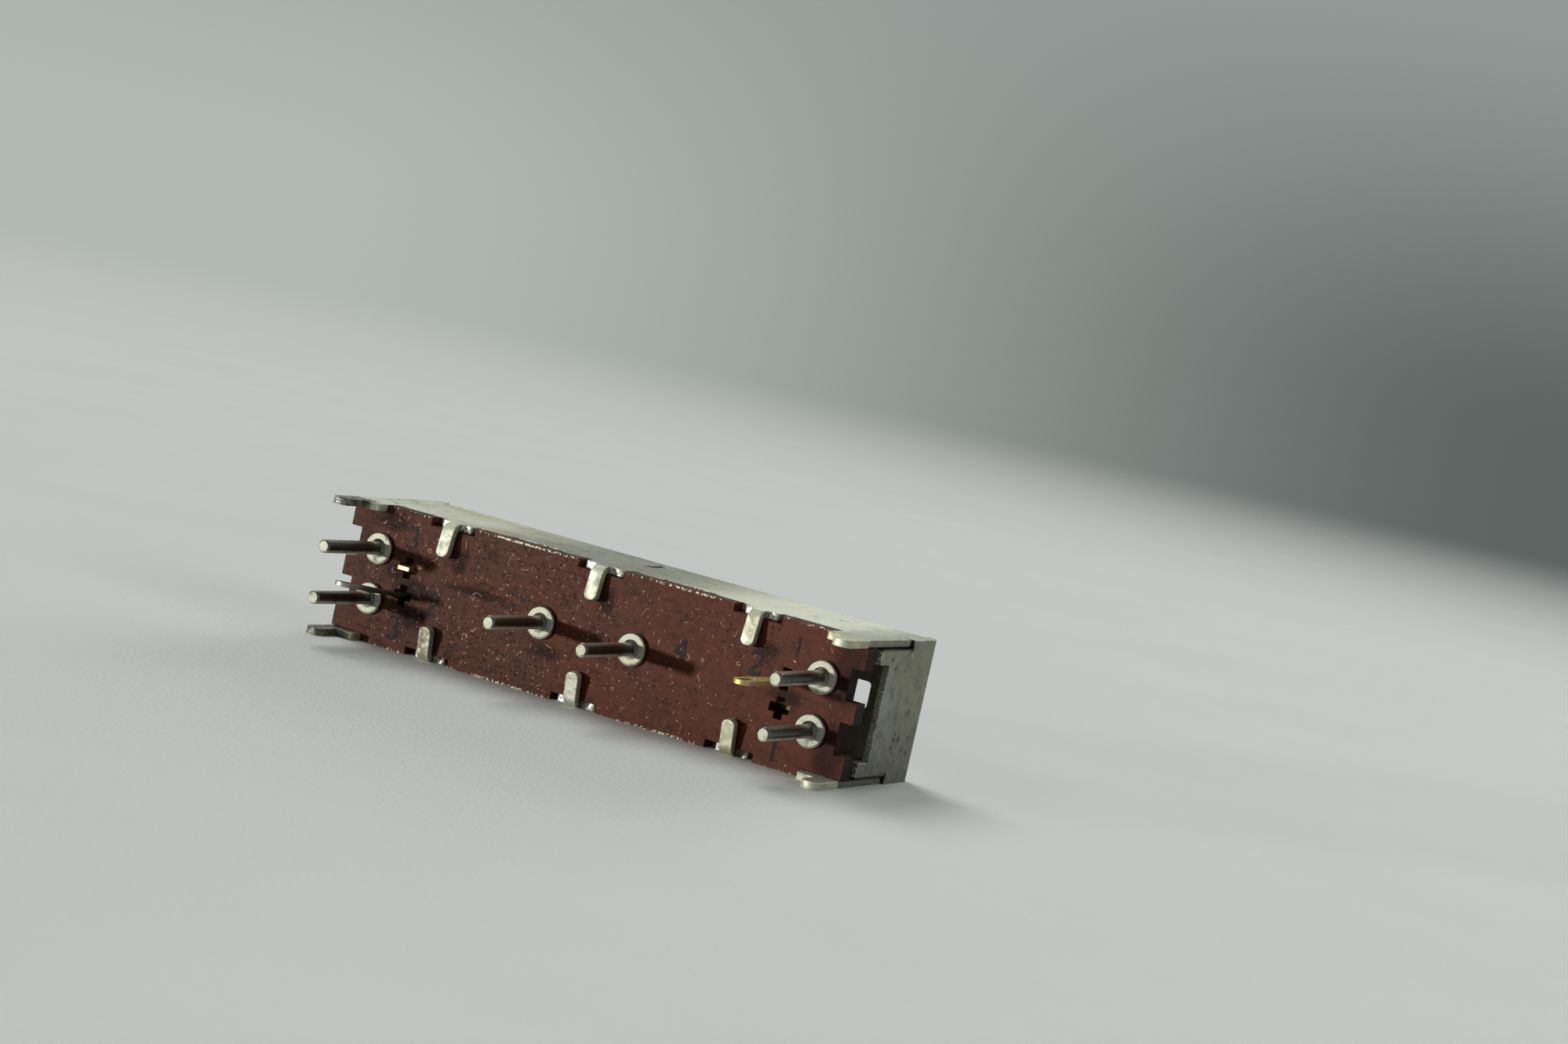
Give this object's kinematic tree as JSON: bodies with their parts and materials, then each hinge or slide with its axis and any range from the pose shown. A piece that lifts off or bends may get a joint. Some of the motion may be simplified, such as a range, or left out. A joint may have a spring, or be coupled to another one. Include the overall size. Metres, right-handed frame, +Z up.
{
  "type": "dual slide potentiometer",
  "caption": "Slide potentiometer in a long folded steel case, with a phenolic board of riveted pins and solder lugs on the back and a notched nylon lever that slides in a slot in the front.",
  "frame": {"origin": "centre of the outer panel face, midway between the two tapped panel holes", "axes": "+X along the travel, +Y out of the panel face along the lever, +Z up with the part lying on a long side wall"},
  "size_m": [0.0582, 0.0441, 0.0138],
  "materials": {
    "tinned_steel": "dull tin plate with bright worn edges",
    "phenolic_board": "paper phenolic, reddish brown with pale fibres",
    "carbon_film": "matt printed carbon",
    "silver_print": "dull silver ink",
    "brass_strip": "tarnished brass with tinned lugs",
    "tinned_pin": "tin plated brass wire",
    "ivory_nylon": "aged ivory nylon",
    "spring_bronze": "rolled phosphor bronze",
    "spring_steel": "blued spring strip"
  },
  "bodies": {
    "case": {"housing": "tinned_steel", "terminal_board": "phenolic_board", "carbon_track_upper": "carbon_film", "carbon_track_lower": "carbon_film", "end_pads_upper": "silver_print", "end_pads_lower": "silver_print", "tap_pad_upper": "silver_print", "tap_pad_lower": "silver_print", "collector_upper": "brass_strip", "collector_lower": "brass_strip", "pin_upper_left": "tinned_pin", "pin_upper_right": "tinned_pin", "pin_lower_left": "tinned_pin", "pin_lower_right": "tinned_pin", "tap_pin_left": "tinned_pin", "tap_pin_right": "tinned_pin"},
    "slider": {"slider_lever": "ivory_nylon", "wiper_upper": "spring_bronze", "wiper_lower": "spring_bronze", "drag_spring": "spring_steel"}
  },
  "joints": [
    {"name": "lever_slide", "type": "slide", "parent": "case", "child": "slider", "axis": [1, 0, 0], "range_m": [-0.02, 0.02]}
  ]
}
